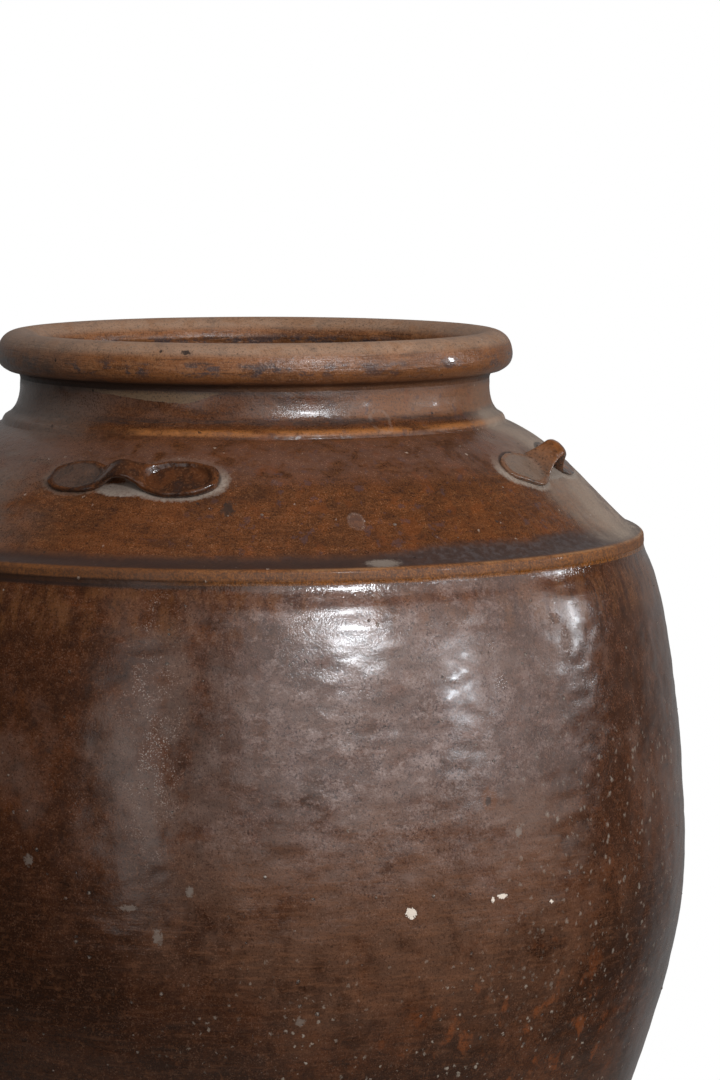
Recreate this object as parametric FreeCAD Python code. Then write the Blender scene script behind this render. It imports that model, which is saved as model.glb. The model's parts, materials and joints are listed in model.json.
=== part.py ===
"""Large stoneware storage jar: a wide rolled mouth, a short neck, a sloping shoulder with four
strap lugs, a raised cordon where shoulder and body meet, and a swelling body on a flat foot.

The jar is made the way a potter makes one this big. Each clay section is thrown or coiled by
itself and luted to the next, and the lugs are pressed on last. Every section is its own solid.
Millimetres, +Z up. The origin is the centre of the foot, on the floor. The front lug is on -Y.
"""
import FreeCAD, Part
import math
import os

os.makedirs("parts", exist_ok=True)
Vector = FreeCAD.Vector

# Heights of the sections, stacked from the floor up
base_thickness = 19.0
lower_wall_height = 278.0
upper_wall_height = 194.5
cordon_height = 19.0
shoulder_height = 55.0
neck_height = 26.5
rim_height = 28.0

# Outer radii
foot_radius = 151.0
belly_radius = 263.2
wall_top_radius = 237.8
mouth_radius = 129.5

# Clay thickness, measured square to the wall
foot_wall = 15.0
belly_wall = 13.0
wall_top_wall = 12.5
shoulder_wall = 12.0
neck_wall = 12.3

# Angles that the outer surface leans outwards from upright as it rises, in degrees
foot_angle = 31.3
belly_angle = 1.7
wall_top_angle = -23.5
shoulder_foot_angle = -46.0
shoulder_top_angle = -68.0

# How long each curve holds its angle before it bends away, as a share of the curve's own chord
foot_hold_share = 0.3585
under_belly_hold_share = 0.21
over_belly_hold_share = 0.372
wall_top_hold_share = 0.117
shoulder_foot_hold_share = 0.386
shoulder_top_hold_share = 0.341

# Foot edge
foot_rounding = 4.0
foot_rounding_share = 0.5

# Cordon: a rounded nose over the body, and a shallow groove where the shoulder rises from it
cordon_setback = 1.0
cordon_nose_height = 4.5
cordon_crest_rise = 11.1
cordon_crest_inset = 6.1
cordon_ledge = 15.5
cordon_crest_angle = -62.0
cordon_nose_share = 0.423
cordon_groove_share = 0.31

# Neck: a bead round its foot, then a cove up to the straight part
neck_foot_flare = 10.7
bead_height = 6.0
bead_inset = 2.3
bead_angle = -75.0
bead_share = 0.36
cove_height = 14.5
cove_foot_share = 0.27
cove_top_share = 0.54

# Rolled rim
rim_overhang = 13.7
rim_widest_height = 14.0
rim_crest_inset = 12.5
rim_under_angle = 80.0
rim_under_share = 0.41
rim_crest_share = 0.43
throat_depth = 14.0
throat_share = 0.36

# Inside of the shoulder, under the mouth
throat_skirt = 8.5
throat_skirt_flare = 4.0
throat_skirt_drop = 4.0

# Strap lugs: a rolled bridge over a cord eye, between two thumb-pressed pads
lug_front_angle = 0.0
lug_right_angle = 90.5
lug_back_angle = 181.0
lug_left_angle = 271.0
lug_place_share = 0.4433
lug_length = 107.0
bridge_width = 14.0
bridge_thickness = 6.2
eye_gap = 7.4
eye_spread = 15.0
pad_width = 23.0
pad_centre = 33.0
pad_edge_height = 4.2
pad_dish_height = 1.9
pad_tip_height = 0.9
pad_tip_width = 4.0
pad_seat_depth = 5.0
pad_corner_share = 0.62
bridge_level_share = 0.15
bridge_waist_share = 0.3
lug_stations = 23

# Levels of the joints between the sections, and the radii that follow from the sizes above
base_top = base_thickness
belly_level = base_top + lower_wall_height
wall_top = belly_level + upper_wall_height
shoulder_foot = wall_top + cordon_height
shoulder_top = shoulder_foot + shoulder_height
neck_top = shoulder_top + neck_height
jar_top = neck_top + rim_height

base_top_radius = foot_radius + base_thickness * math.tan(math.radians(foot_angle))
cordon_radius = wall_top_radius - cordon_setback
shoulder_foot_radius = cordon_radius - cordon_ledge
neck_radius = mouth_radius + neck_wall
shoulder_top_radius = neck_radius + neck_foot_flare
rim_radius = neck_radius + rim_overhang
shoulder_run = shoulder_foot_radius - shoulder_top_radius
lug_centre_radius = shoulder_top_radius + lug_place_share * shoulder_run


def heading(angle):
    """The direction, in radius and height, of a wall that leans so far from upright."""
    turn = math.radians(angle)
    return math.sin(turn), math.cos(turn)


def ahead(point, angle, distance):
    """The point reached by going a distance at an angle from another point."""
    outwards, upwards = heading(angle)
    return point[0] + distance * outwards, point[1] + distance * upwards


def inset(point, angle, thickness):
    """The point on the inside of the wall, square to its outer surface."""
    outwards, upwards = heading(angle)
    return point[0] - thickness * upwards, point[1] + thickness * outwards


def across(thickness, angle):
    """The level width of a leaning wall."""
    return thickness / math.cos(math.radians(angle))


def to_vector(point):
    return Vector(point[0], 0.0, point[1])


def straight(start, end):
    return Part.makeLine(to_vector(start), to_vector(end))


def bend(start, start_angle, start_share, end, end_angle, end_share):
    """A smooth stretch of outline that leaves and arrives at the given angles."""
    chord = math.dist(start, end)
    leaving = ahead(start, start_angle, start_share * chord)
    arriving = ahead(end, end_angle, -end_share * chord)
    poles = [start, leaving, arriving, end]
    curve = Part.BezierCurve()
    curve.setPoles([to_vector(pole) for pole in poles])
    return curve.toShape()


def turned(edges):
    """The solid that a closed outline makes when it is turned round the jar's axis."""
    face = Part.Face(Part.Wire(edges))
    solid = face.revolve(Vector(0, 0, 0), Vector(0, 0, 1), 360)
    return Part.Solid(solid.Shells[0]) if solid.ShapeType != "Solid" else solid


def base_slab():
    """The flat slab that the jar stands on, with a rounded edge at the floor."""
    flat_edge = (foot_radius - foot_rounding, 0.0)
    side_start = ahead((foot_radius, 0.0), foot_angle, foot_rounding)
    side_end = (base_top_radius, base_top)
    return turned([
        straight((0.0, 0.0), flat_edge),
        bend(flat_edge, 90.0, foot_rounding_share, side_start, foot_angle, foot_rounding_share),
        straight(side_start, side_end),
        straight(side_end, (0.0, base_top)),
        straight((0.0, base_top), (0.0, 0.0)),
    ])


def lower_wall():
    """The thrown lower wall, from the slab up to the joint at the widest part of the belly."""
    outer_foot = (base_top_radius, base_top)
    outer_belly = (belly_radius, belly_level)
    inner_foot = (base_top_radius - across(foot_wall, foot_angle), base_top)
    inner_belly = (belly_radius - across(belly_wall, belly_angle), belly_level)
    leaving = (foot_angle, foot_hold_share)
    arriving = (belly_angle, under_belly_hold_share)
    return turned([
        bend(outer_foot, *leaving, outer_belly, *arriving),
        straight(outer_belly, inner_belly),
        bend(inner_foot, *leaving, inner_belly, *arriving),
        straight(inner_foot, outer_foot),
    ])


def upper_wall():
    """The coiled upper wall, from the belly joint up to the cordon."""
    outer_belly = (belly_radius, belly_level)
    outer_top = (wall_top_radius, wall_top)
    inner_belly = (belly_radius - across(belly_wall, belly_angle), belly_level)
    inner_top = (wall_top_radius - across(wall_top_wall, wall_top_angle), wall_top)
    leaving = (belly_angle, over_belly_hold_share)
    arriving = (wall_top_angle, wall_top_hold_share)
    return turned([
        bend(outer_belly, *leaving, outer_top, *arriving),
        straight(outer_top, inner_top),
        bend(inner_belly, *leaving, inner_top, *arriving),
        straight(inner_belly, outer_belly),
    ])


def shoulder_foot_points():
    """The outer and inner edge of the slanted joint between cordon and shoulder."""
    outer = (shoulder_foot_radius, shoulder_foot)
    return outer, inset(outer, shoulder_foot_angle, shoulder_wall)


def shoulder_cordon():
    """The joining coil between body and shoulder: its nose is the ridge seen all round."""
    inner_bottom = (wall_top_radius - across(wall_top_wall, wall_top_angle), wall_top)
    outer_bottom = (cordon_radius, wall_top)
    nose = (cordon_radius, wall_top + cordon_nose_height)
    crest = (cordon_radius - cordon_crest_inset, wall_top + cordon_crest_rise)
    outer_top, inner_top = shoulder_foot_points()
    return turned([
        straight(inner_bottom, outer_bottom),
        straight(outer_bottom, nose),
        bend(nose, 0.0, cordon_nose_share, crest, cordon_crest_angle, cordon_nose_share),
        bend(crest, cordon_crest_angle, cordon_groove_share,
             outer_top, shoulder_foot_angle, cordon_groove_share),
        straight(outer_top, inner_top),
        straight(inner_top, inner_bottom),
    ])


def shoulder_outer_edge():
    outer_foot, inner_foot = shoulder_foot_points()
    outer_top = (shoulder_top_radius, shoulder_top)
    return bend(outer_foot, shoulder_foot_angle, shoulder_foot_hold_share,
                outer_top, shoulder_top_angle, shoulder_top_hold_share)


def shoulder():
    """The sloping shoulder. Its inner edge turns down a little below the mouth."""
    outer_foot, inner_foot = shoulder_foot_points()
    outer_top = (shoulder_top_radius, shoulder_top)
    mouth_edge = (mouth_radius, shoulder_top)
    skirt_end = (mouth_radius, shoulder_top - throat_skirt)
    skirt_back = (mouth_radius + throat_skirt_flare, skirt_end[1] - throat_skirt_drop)
    return turned([
        shoulder_outer_edge(),
        straight(outer_top, mouth_edge),
        straight(mouth_edge, skirt_end),
        straight(skirt_end, skirt_back),
        bend(inner_foot, shoulder_foot_angle, shoulder_foot_hold_share,
             skirt_back, shoulder_top_angle, shoulder_top_hold_share),
        straight(inner_foot, outer_foot),
    ])


def neck_collar():
    """The short neck: a bead on the shoulder, a cove, and a straight part under the rim."""
    outer_bottom = (shoulder_top_radius, shoulder_top)
    bead = (shoulder_top_radius - bead_inset, shoulder_top + bead_height)
    cove_top = (neck_radius, bead[1] + cove_height)
    outer_top = (neck_radius, neck_top)
    inner_top = (mouth_radius, neck_top)
    inner_bottom = (mouth_radius, shoulder_top)
    return turned([
        bend(outer_bottom, 0.0, bead_share, bead, bead_angle, bead_share),
        bend(bead, bead_angle, cove_foot_share, cove_top, 0.0, cove_top_share),
        straight(cove_top, outer_top),
        straight(outer_top, inner_top),
        straight(inner_top, inner_bottom),
        straight(inner_bottom, outer_bottom),
    ])


def rolled_rim():
    """The rolled rim that overhangs the neck, with a rounded crest and throat."""
    outer_bottom = (neck_radius, neck_top)
    widest = (rim_radius, neck_top + rim_widest_height)
    crest = (rim_radius - rim_crest_inset, jar_top)
    throat = (mouth_radius, jar_top - throat_depth)
    inner_bottom = (mouth_radius, neck_top)
    return turned([
        bend(outer_bottom, rim_under_angle, rim_under_share, widest, 0.0, rim_under_share),
        bend(widest, 0.0, rim_crest_share, crest, -90.0, rim_crest_share),
        bend(crest, -90.0, throat_share, throat, 180.0, throat_share),
        straight(throat, inner_bottom),
        straight(inner_bottom, outer_bottom),
    ])


def lug_seat():
    """The point of the shoulder under a lug's centre, and the shoulder's slope there."""
    edge = shoulder_outer_edge()
    curve = edge.Curve
    low, high = edge.ParameterRange
    for halving in range(40):
        middle = (low + high) / 2
        if curve.value(middle).x > lug_centre_radius:
            low = middle
        else:
            high = middle
    seat = curve.value(low)
    direction = curve.tangent(low)[0]
    slope = math.atan2(abs(direction.z), abs(direction.x))
    return (seat.x, seat.z), slope


def ease(value, low, high):
    """Rises smoothly from 0 at low to 1 at high."""
    share = min(max((value - low) / (high - low), 0.0), 1.0)
    return share * share * (3 - 2 * share)


def lug_section(station, seat, slope):
    """The closed outline of the strap at one station, a distance along it from its middle.

    The bridge is a roll that stands clear of the shoulder, and the pads are dished. Their
    undersides reach below the shoulder's surface, which trims them to their seat later.
    """
    away = abs(station)
    half_length = lug_length / 2
    lifted = 1 - ease(away, bridge_level_share * eye_spread, eye_spread + bridge_width / 2)
    spread = ease(away, bridge_waist_share * eye_spread, pad_centre)
    tip_share = max(away - pad_centre, 0.0) / (half_length - pad_centre)
    taper = math.sqrt(max(1 - tip_share ** 2, 0.0))

    full_width = bridge_width + (pad_width - bridge_width) * spread
    width = pad_tip_width + (full_width - pad_tip_width) * taper
    crest = eye_gap + bridge_thickness
    dish = pad_tip_height + (pad_dish_height - pad_tip_height) * taper
    top = dish + (crest - dish) * lifted
    bottom = -pad_seat_depth + (eye_gap + pad_seat_depth) * lifted
    bridge_edge = eye_gap + bridge_thickness / 2
    pad_edge = pad_tip_height + (pad_edge_height - pad_tip_height) * taper
    edge = pad_edge + (bridge_edge - pad_edge) * lifted

    # A curve of four poles passes three quarters of the way from its ends to its middle poles
    half = width / 2
    top_reach = half * (pad_corner_share + (1 - pad_corner_share) * lifted)
    top_control = edge + (top - edge) * 4 / 3
    bottom_control = edge + (bottom - edge) * 4 / 3
    outline = [
        [(-half, edge), (-top_reach, top_control), (top_reach, top_control), (half, edge)],
        [(half, edge), (half, bottom_control), (-half, bottom_control), (-half, edge)],
    ]
    turn = math.degrees(station / seat[0])
    edges = []
    for poles in outline:
        placed = []
        for down, out in poles:
            radius = seat[0] + down * math.cos(slope) + out * math.sin(slope)
            height = seat[1] - down * math.sin(slope) + out * math.cos(slope)
            placed.append(Vector(0.0, -radius, height))
        curve = Part.BezierCurve()
        curve.setPoles(placed)
        edges.append(curve.toShape())
    wire = Part.Wire(edges)
    wire.rotate(Vector(0, 0, 0), Vector(0, 0, 1), turn)
    return wire


def under_shoulder():
    """Everything below the shoulder's outer surface, as far in as the lugs could reach."""
    outer_foot, inner_foot = shoulder_foot_points()
    outer_top = (shoulder_top_radius, shoulder_top)
    depth = shoulder_height
    return turned([
        shoulder_outer_edge(),
        straight(outer_top, (mouth_radius, shoulder_top)),
        straight((mouth_radius, shoulder_top), (mouth_radius, shoulder_foot - depth)),
        straight((mouth_radius, shoulder_foot - depth), (outer_foot[0], outer_foot[1] - depth)),
        straight((outer_foot[0], outer_foot[1] - depth), outer_foot),
    ])


def strap_lug():
    """One strap lug on the front of the shoulder, trimmed to the surface it is pressed on."""
    seat, slope = lug_seat()
    step = lug_length / (lug_stations - 1)
    stations = [step * index - lug_length / 2 for index in range(lug_stations)]
    sections = [lug_section(station, seat, slope) for station in stations]
    strap = Part.makeLoft(sections, True, False)
    return strap.cut(under_shoulder())


def write(name, shape):
    shape.exportStep("parts/" + name + ".step")
    print(name, "solids", len(shape.Solids), "volume cm3", round(shape.Volume / 1000, 1))


write("base_slab", base_slab())
write("lower_wall", lower_wall())
write("upper_wall", upper_wall())
write("shoulder_cordon", shoulder_cordon())
write("shoulder", shoulder())
write("neck_collar", neck_collar())
write("rolled_rim", rolled_rim())

first_lug = strap_lug()
for lug_name, lug_angle in (
    ("lug_front", lug_front_angle),
    ("lug_right", lug_right_angle),
    ("lug_back", lug_back_angle),
    ("lug_left", lug_left_angle),
):
    lug = first_lug.copy()
    lug.rotate(Vector(0, 0, 0), Vector(0, 0, 1), lug_angle)
    write(lug_name, lug)
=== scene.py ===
import bpy
import json
import math
import numpy as np
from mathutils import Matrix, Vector


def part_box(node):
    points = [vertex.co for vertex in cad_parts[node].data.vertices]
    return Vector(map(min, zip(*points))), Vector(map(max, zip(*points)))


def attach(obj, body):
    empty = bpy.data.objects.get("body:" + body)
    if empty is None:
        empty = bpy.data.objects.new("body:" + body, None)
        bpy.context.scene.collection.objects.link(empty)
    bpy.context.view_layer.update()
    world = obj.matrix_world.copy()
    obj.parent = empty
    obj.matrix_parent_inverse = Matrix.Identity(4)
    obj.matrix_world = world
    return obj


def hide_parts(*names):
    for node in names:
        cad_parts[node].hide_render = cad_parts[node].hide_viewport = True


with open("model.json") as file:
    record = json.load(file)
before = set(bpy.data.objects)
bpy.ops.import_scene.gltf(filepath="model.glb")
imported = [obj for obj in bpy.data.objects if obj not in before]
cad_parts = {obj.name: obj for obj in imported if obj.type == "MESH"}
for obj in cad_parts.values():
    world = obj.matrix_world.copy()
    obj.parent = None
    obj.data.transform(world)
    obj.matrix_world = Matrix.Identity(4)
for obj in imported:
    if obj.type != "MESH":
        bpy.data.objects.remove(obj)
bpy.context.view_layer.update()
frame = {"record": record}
print("stage: frame loaded")

degree = math.pi / 180
tiny = 1e-9
mm = 0.001

# The view: the jar's axis stands left of the middle, and the foot is below the picture's edge
camera = {
    "azimuth": 21.7,  # turned to the right of the front lug
    "distance": 2.754,
    "height": 0.775,
    "pitch": 5.85,
    "yaw": 1.373,
    "lens": 153.0,
    "sensor": 36.0,
}


def setCamera(look):
    lens = bpy.data.cameras.new("camera")
    lens.sensor_width = look["sensor"]
    lens.lens = look["lens"]
    lens.clip_end = 50
    made = bpy.data.objects.new("camera", lens)
    turn = look["azimuth"] * degree
    away = look["distance"]
    made.location = (away * math.sin(turn), -away * math.cos(turn), look["height"])
    made.rotation_euler = ((90 - look["pitch"]) * degree, 0, (look["azimuth"] - look["yaw"]) * degree)
    bpy.context.scene.collection.objects.link(made)
    bpy.context.scene.camera = made


setCamera(camera)


def operator(operation, swapped=False):  # an operator that adds one maths node
    def apply(self, *others):
        return self.maker.maths(operation, *((*others, self) if swapped else (self, *others)))
    return apply


class Field:  # one socket of a tree, with the operators that the patterns use
    __add__ = __radd__ = operator("ADD")
    __sub__ = operator("SUBTRACT")
    __rsub__ = operator("SUBTRACT", swapped=True)
    __mul__ = __rmul__ = operator("MULTIPLY")
    __rtruediv__ = operator("DIVIDE", swapped=True)
    __pow__ = operator("POWER")
    size = operator("ABSOLUTE")
    most = operator("MAXIMUM")
    least = operator("MINIMUM")

    def __init__(self, maker, socket):
        self.maker = maker
        self.socket = socket

    def __neg__(self):
        return self * -1.0

    def rise(self, low, high):  # 0 below low, 1 above high, smooth between; low may be the larger
        settings = {"interpolation_type": "SMOOTHSTEP"}
        inputs = {"Value": self, "From Min": low, "From Max": high}
        return self.maker.field("ShaderNodeMapRange", settings, inputs)

    def span(self, low, high, newLow, newHigh):
        inputs = {"Value": self, "From Min": low, "From Max": high, "To Min": newLow, "To Max": newHigh}
        return self.maker.field("ShaderNodeMapRange", {"clamp": True}, inputs)

    def between(self, low, high, soft):
        return self.rise(low - soft, low + soft) * self.rise(high + soft, high - soft)


class Maker:  # makes the nodes of one tree, a material's or a Geometry Nodes group's
    def __init__(self, tree):
        self.tree = tree

    def node(self, kind, settings=None, inputs=None):
        made = self.tree.nodes.new(kind)
        for key, value in (settings or {}).items():
            setattr(made, key, value)
        for key, value in (inputs or {}).items():
            self.feed(self.pick(made.inputs, key), value)
        return made

    def pick(self, sockets, key):
        if isinstance(key, int):
            return sockets[key]
        for socket in sockets:
            if socket.identifier == key:
                return socket
        return [socket for socket in sockets if socket.name == key and socket.enabled][0]

    def feed(self, socket, value):
        if isinstance(value, Field):
            self.tree.links.new(value.socket, socket)
        elif isinstance(value, bpy.types.NodeSocket):
            self.tree.links.new(value, socket)
        else:
            socket.default_value = value

    def field(self, kind, settings=None, inputs=None, output=0):
        made = self.node(kind, settings, inputs)
        return Field(self, self.pick(made.outputs, output))

    def maths(self, operation, *values):
        return self.field("ShaderNodeMath", {"operation": operation}, dict(enumerate(values)))

    def vector(self, operation, *values):
        return self.field("ShaderNodeVectorMath", {"operation": operation}, dict(enumerate(values)))

    def split(self, vector):
        made = self.node("ShaderNodeSeparateXYZ", None, {0: vector})
        return [Field(self, socket) for socket in made.outputs]

    def join(self, x, y, z):
        return self.field("ShaderNodeCombineXYZ", None, {0: x, 1: y, 2: z})

    def stretch(self, place, across, up):
        return self.vector("MULTIPLY", place, (across, across, up))

    def noise(self, place, size, detail=3.0, roughness=0.5, distortion=0.0):
        inputs = {
            "Vector": place,
            "Scale": 1.0 / size,
            "Detail": detail,
            "Roughness": roughness,
            "Distortion": distortion,
        }
        return self.field("ShaderNodeTexNoise", {"noise_dimensions": "3D"}, inputs)

    def mix(self, share, first, second):
        settings = {"data_type": "RGBA", "blend_type": "MIX", "clamp_factor": True}
        inputs = {"Factor_Float": share, "A_Color": first, "B_Color": second}
        return self.field("ShaderNodeMix", settings, inputs, "Result_Color")


# Outlines. Each ring piece is a closed outline in radius and height, turned round the axis.
turning = {
    "columns": 720,
    "outerStep": 2.5 * mm,
    "lowerStep": 2.9 * mm,
    "innerStep": 16 * mm,
}
columns = turning["columns"]
wall = {"foot": 15 * mm, "belly": 13 * mm, "top": 12.5 * mm, "shoulder": 12 * mm, "neck": 12.3 * mm}
lean = {"foot": 31.3, "belly": 1.7, "wallTop": -23.5, "shoulderFoot": -46.0, "shoulderTop": -68.0}
mouthMount = [mount for mount in frame["record"]["mounts"] if mount["name"] == "mouth"][0]
mouthRadius = mouthMount["dims"]["r_mm"] * mm


def levelsOf(node):
    low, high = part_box(node)
    return low.z, high.z


def radiusOf(node):
    low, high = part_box(node)
    return (high.x - low.x) / 2


baseTop = levelsOf("base_slab")[1]
bellyLevel, wallTop = levelsOf("upper_wall")
shoulderFoot = levelsOf("shoulder_cordon")[1]
neckLow, neckTop = levelsOf("neck_collar")
jarTop = levelsOf("rolled_rim")[1]
baseTopRadius = radiusOf("base_slab")
bellyRadius = radiusOf("upper_wall")
cordonRadius = radiusOf("shoulder_cordon")
shoulderFootRadius = radiusOf("shoulder")
shoulderTopRadius = radiusOf("neck_collar")
rimRadius = radiusOf("rolled_rim")
neckRadius = mouthRadius + wall["neck"]
wallTopRadius = cordonRadius + 1 * mm


def heading(slant):
    return math.sin(slant * degree), math.cos(slant * degree)


def ahead(point, slant, distance):
    outwards, upwards = heading(slant)
    return point[0] + distance * outwards, point[1] + distance * upwards


def inset(point, slant, thickness):
    outwards, upwards = heading(slant)
    return point[0] - thickness * upwards, point[1] + thickness * outwards


def across(thickness, slant):
    return thickness / math.cos(slant * degree)


def curvePoint(poles, t):
    weights = ((1 - t) ** 3, 3 * (1 - t) ** 2 * t, 3 * (1 - t) * t * t, t ** 3)
    return tuple(sum(w * p[k] for w, p in zip(weights, poles)) for k in (0, 1))


def bend(start, end, step, startLean, startShare, endLean, endShare):
    chord = math.dist(start, end)
    poles = (start, ahead(start, startLean, startShare * chord), ahead(end, endLean, -endShare * chord), end)
    rows = max(2, round(chord / step))
    return [curvePoint(poles, row / rows) for row in range(rows + 1)]


def straight(start, end, step):
    rows = max(1, round(math.dist(start, end) / step))
    return [tuple(start[k] + (end[k] - start[k]) * row / rows for k in (0, 1)) for row in range(rows + 1)]


# A leg says its step, 1 where the potter's hand shaped the face or 0 on joints and inside, its end,
# and for a bend the lean and the pull at either end; a step below 0 draws it from its far end
def trace(start, *legs):
    stretches = []
    for step, worked, end, *curve in legs:
        if not curve:
            points = straight(start, end, step)
        elif step > 0:
            points = bend(start, end, step, *curve)
        else:
            points = bend(end, start, -step, *curve)[::-1]
        stretches.append((points, worked))
        start = end
    return stretches


def baseOutline():
    edge = 4 * mm
    foot = baseTopRadius - baseTop * math.tan(lean["foot"] * degree)
    return trace(
        (0.0, 0.0),
        (20 * mm, 0, (foot - edge, 0.0)),
        (0.8 * mm, 0, ahead((foot, 0.0), lean["foot"], edge), 90, 0.5, lean["foot"], 0.5),
        (turning["lowerStep"], 1, (baseTopRadius, baseTop)),
        (30 * mm, 0, (0.0, baseTop)),
        (30 * mm, 0, (0.0, 0.0)),
    )


innerBelly = (bellyRadius - across(wall["belly"], lean["belly"]), bellyLevel)
innerWallTop = (wallTopRadius - across(wall["top"], lean["wallTop"]), wallTop)


def lowerOutline():
    outerFoot = (baseTopRadius, baseTop)
    innerFoot = (baseTopRadius - across(wall["foot"], lean["foot"]), baseTop)
    curve = (lean["foot"], 0.3585, lean["belly"], 0.21)
    return trace(
        outerFoot,
        (turning["lowerStep"], 1, (bellyRadius, bellyLevel), *curve),
        (wall["belly"], 1, innerBelly),
        (-turning["innerStep"], 0, innerFoot, *curve),
        (wall["foot"], 0, outerFoot),
    )


def upperOutline():
    outerBelly = (bellyRadius, bellyLevel)
    knee = ahead((wallTopRadius - 0.6 * mm, wallTop), lean["wallTop"], -13 * mm)
    curve = (lean["belly"], 0.372, lean["wallTop"], 0.117)
    return trace(
        outerBelly,
        (turning["outerStep"], 1, knee, *curve),
        (1.2 * mm, 1, (wallTopRadius, wallTop), lean["wallTop"], 0.4, -9, 0.3),
        (wall["top"], 1, innerWallTop),
        (-turning["innerStep"], 0, innerBelly, *curve),
        (wall["belly"], 0, outerBelly),
    )


def cordonOutline():
    outerBottom = (wallTopRadius, wallTop)
    outerTop = (shoulderFootRadius, shoulderFoot)
    crest = (cordonRadius - 6.1 * mm, wallTop + 11.1 * mm)
    fine = 0.9 * mm
    finest = 0.5 * mm
    return trace(
        outerBottom,
        (finest, 1, (wallTopRadius - 0.1 * mm, wallTop + 1.6 * mm), -8, 0.3, 2, 0.3),
        (finest, 1, (wallTopRadius + 0.1 * mm, wallTop + 3.4 * mm), 2, 0.35, 3, 0.35),
        (fine, 1, (wallTopRadius - 0.1 * mm, wallTop + 6.4 * mm)),
        (fine, 1, crest, -2, 0.3, -62, 0.4),
        (fine, 1, outerTop, -62, 0.31, lean["shoulderFoot"], 0.31),
        (wall["shoulder"], 1, inset(outerTop, lean["shoulderFoot"], wall["shoulder"])),
        (turning["innerStep"], 0, innerWallTop),
        (wall["top"], 0, outerBottom),
    )


shoulderCurve = (lean["shoulderFoot"], 0.386, lean["shoulderTop"], 0.341)


def shoulderOutline():
    outerFoot = (shoulderFootRadius, shoulderFoot)
    innerFoot = inset(outerFoot, lean["shoulderFoot"], wall["shoulder"])
    return trace(
        outerFoot,
        (1.8 * mm, 1, (shoulderTopRadius, neckLow), *shoulderCurve),
        (30 * mm, 1, (mouthRadius, neckLow)),
        (10 * mm, 0, (mouthRadius, neckLow - 8.5 * mm)),
        (10 * mm, 0, (mouthRadius + 4 * mm, neckLow - 12.5 * mm)),
        (-turning["innerStep"], 0, innerFoot, *shoulderCurve),
        (wall["shoulder"], 0, outerFoot),
    )


def neckOutline():
    outerBottom = (shoulderTopRadius, neckLow)
    bead = neckLow + 4.8 * mm
    fine = 1.1 * mm
    return trace(
        outerBottom,
        (fine, 1, (shoulderTopRadius - 2.9 * mm, bead), -25, 0.36, -66, 0.36),
        (fine, 1, (neckRadius, bead + 17.5 * mm), -66, 0.32, 0, 0.4),
        (fine, 1, (neckRadius, neckTop)),
        (wall["neck"], 1, (mouthRadius, neckTop)),
        (4 * mm, 0, (mouthRadius, neckLow)),
        (30 * mm, 0, outerBottom),
    )


def rimOutline():
    outerBottom = (neckRadius, neckTop)
    fine = 1.3 * mm
    return trace(
        outerBottom,
        (0.8 * mm, 1, (neckRadius + 7.4 * mm, neckTop + 4.7 * mm), 5, 0.45, 82, 0.4),
        (fine, 1, (rimRadius, neckTop + 13.5 * mm), 62, 0.25, 0, 0.5),
        (fine, 1, (rimRadius - 12.5 * mm, jarTop), 0, 0.43, -90, 0.43),
        (fine, 1, (mouthRadius, jarTop - 14 * mm), -90, 0.36, 180, 0.36),
        (3 * mm, 0, (mouthRadius, neckTop)),
        (wall["neck"], 0, outerBottom),
    )


def markPoints(mesh, label, values):
    mesh.attributes.new(label, "FLOAT", "POINT").data.foreach_set("value", values)


def newPiece(name, vertices, faces, marks):  # marks are what each point carries
    mesh = bpy.data.meshes.new(name)
    mesh.from_pydata(vertices, [], faces)
    mesh.polygons.foreach_set("use_smooth", [True] * len(faces))
    for label, values in marks.items():
        markPoints(mesh, label, values)
    made = bpy.data.objects.new(name, mesh)
    bpy.context.scene.collection.objects.link(made)
    return made


def turnMesh(name, stretches, sharpCorners):
    points = []
    worked = []
    corners = []
    for stretch, share in stretches:
        corners.append(len(points))
        points.extend(stretch[:-1])
        worked.extend([share] * (len(stretch) - 1))
    around = np.arange(columns) * 2 * math.pi / columns
    rings = []
    firstOf = []
    shares = []
    for (radius, height), share in zip(points, worked):
        firstOf.append(sum(len(ring) for ring in rings))
        if radius < tiny:
            rings.append(np.array([[0.0, 0.0, height]]))
        else:
            flat = np.full(columns, height)
            rings.append(np.stack([radius * np.sin(around), -radius * np.cos(around), flat], 1))
        shares.extend([share] * len(rings[-1]))
    faces = []
    for row in range(len(points)):
        after = (row + 1) % len(points)
        poles = (points[row][0] < tiny, points[after][0] < tiny)
        if all(poles):
            continue
        low, high = firstOf[row], firstOf[after]
        for column in range(columns):
            beside = (column + 1) % columns
            if poles[0]:
                faces.append((low, high + beside, high + column))
            elif poles[1]:
                faces.append((low + column, low + beside, high))
            else:
                faces.append((low + column, low + beside, high + beside, high + column))
    made = newPiece(name, np.concatenate(rings).tolist(), faces, {"worked": shares})
    mesh = made.data
    ends = np.zeros(len(mesh.edges) * 2, dtype=np.int64)
    mesh.edges.foreach_get("vertices", ends)
    ends = ends.reshape(-1, 2)
    sharp = np.zeros(len(mesh.edges), dtype=bool)
    for corner in sharpCorners:
        first = firstOf[corners[corner]]
        sharp |= ((ends >= first) & (ends < first + columns)).all(1)
    mesh.attributes.new("sharp_edge", "BOOLEAN", "EDGE").data.foreach_set("value", sharp)
    return made


lugReach = 25  # degrees from a lug to where its ash ends


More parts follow.
